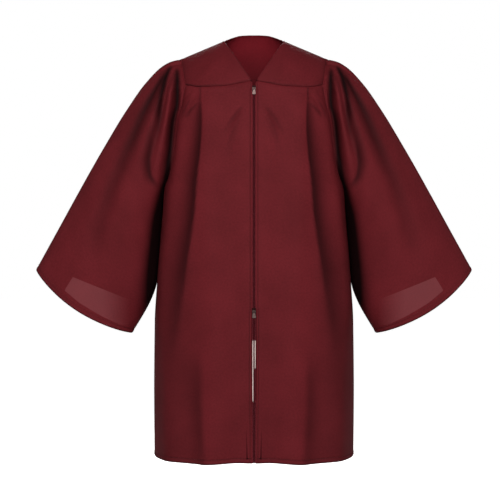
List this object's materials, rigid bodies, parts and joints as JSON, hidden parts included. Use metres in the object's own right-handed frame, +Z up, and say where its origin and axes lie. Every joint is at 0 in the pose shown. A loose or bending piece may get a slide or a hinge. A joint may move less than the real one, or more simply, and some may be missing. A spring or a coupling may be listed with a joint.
{
  "type": "graduation gown",
  "caption": "Knee-length zip-front ceremonial gown with a V neck, a shoulder yoke, soft pleats and wide bell sleeves, in its worn hollow shape.",
  "frame": {"origin": "midway between the neck ends of the two shoulder seams, where the wearer's shoulders hold the gown", "axes": "+X towards the wearer's left sleeve, -Y out of the zipped front, +Z up"},
  "size_m": [0.81, 0.2682, 0.785],
  "materials": {
    "cloth": "matte plain-woven polyester with a slight sheen",
    "zip_tape": "woven tape with a nylon coil",
    "zip_metal": "plated zinc"
  },
  "bodies": {
    "gown": {"front_left": "cloth", "front_right": "cloth", "back": "cloth", "yoke_front_left": "cloth", "yoke_front_right": "cloth", "yoke_back": "cloth", "sleeve_left": "cloth", "sleeve_right": "cloth", "zip_tape_left": "zip_tape", "zip_tape_right": "zip_tape", "slider_upper": "zip_metal", "slider_lower": "zip_metal"},
    "upper_pull": {"pull_upper": "zip_metal"},
    "lower_pull": {"pull_lower": "zip_metal"}
  },
  "joints": [
    {"name": "upper_pull_lift", "type": "hinge", "parent": "gown", "child": "upper_pull", "pos_m": [0, -0.09634, -0.09615], "axis": [-1, 0, 0], "range_deg": [0, 160]},
    {"name": "lower_pull_lift", "type": "hinge", "parent": "gown", "child": "lower_pull", "pos_m": [0, -0.13085, -0.49342], "axis": [-1, 0, 0], "range_deg": [0, 160]}
  ]
}
